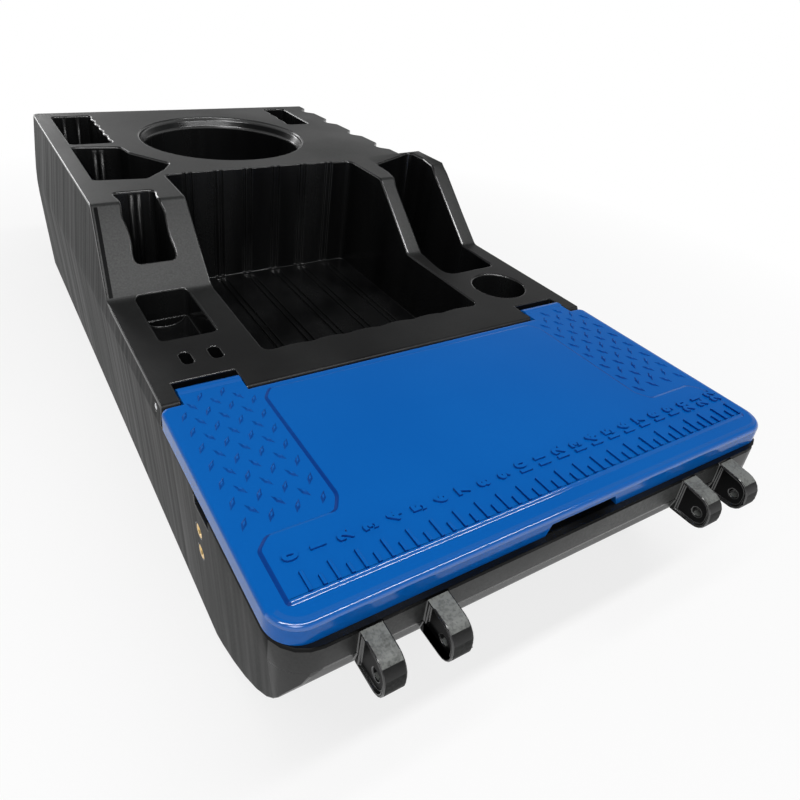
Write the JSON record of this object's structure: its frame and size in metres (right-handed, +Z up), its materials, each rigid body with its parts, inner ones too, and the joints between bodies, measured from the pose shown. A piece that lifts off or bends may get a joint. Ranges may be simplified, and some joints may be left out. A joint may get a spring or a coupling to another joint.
{
  "type": "utility sled",
  "caption": "Towed utility sled for ice fishing: hollow moulded hull with bucket well, cargo well and tool pockets, hinged lid with a ruler, tow lugs on the bow.",
  "frame": {"origin": "middle of the bottom of the bounding box", "axes": "+Z up, -Y towards the bow with the tow lugs, +Y towards the rear, +X to the side with the cup holder"},
  "size_m": [0.622, 1.228, 0.344],
  "materials": {
    "hull_plastic": "satin black polyethylene with a faint grey bloom, glossier inside the pockets",
    "lid_plastic": "satin to gloss blue polyethylene",
    "insert_brass": "turned brass",
    "pin_steel": "bright cut steel rod",
    "plug_plastic": "matte black nylon"
  },
  "bodies": {
    "hull_body": {"hull": "hull_plastic", "hinge_pin_left": "pin_steel", "hinge_pin_right": "pin_steel", "insert_left_upper": "insert_brass", "insert_left_lower": "insert_brass", "insert_right_upper": "insert_brass", "insert_right_lower": "insert_brass", "vent_plug": "plug_plastic"},
    "lid_body": {"lid": "lid_plastic"}
  },
  "joints": [
    {"name": "lid_hinge", "type": "hinge", "parent": "hull_body", "child": "lid_body", "pos_m": [0, -0.251, 0.223], "axis": [-1, 0, 0], "range_deg": [0, 105]}
  ]
}
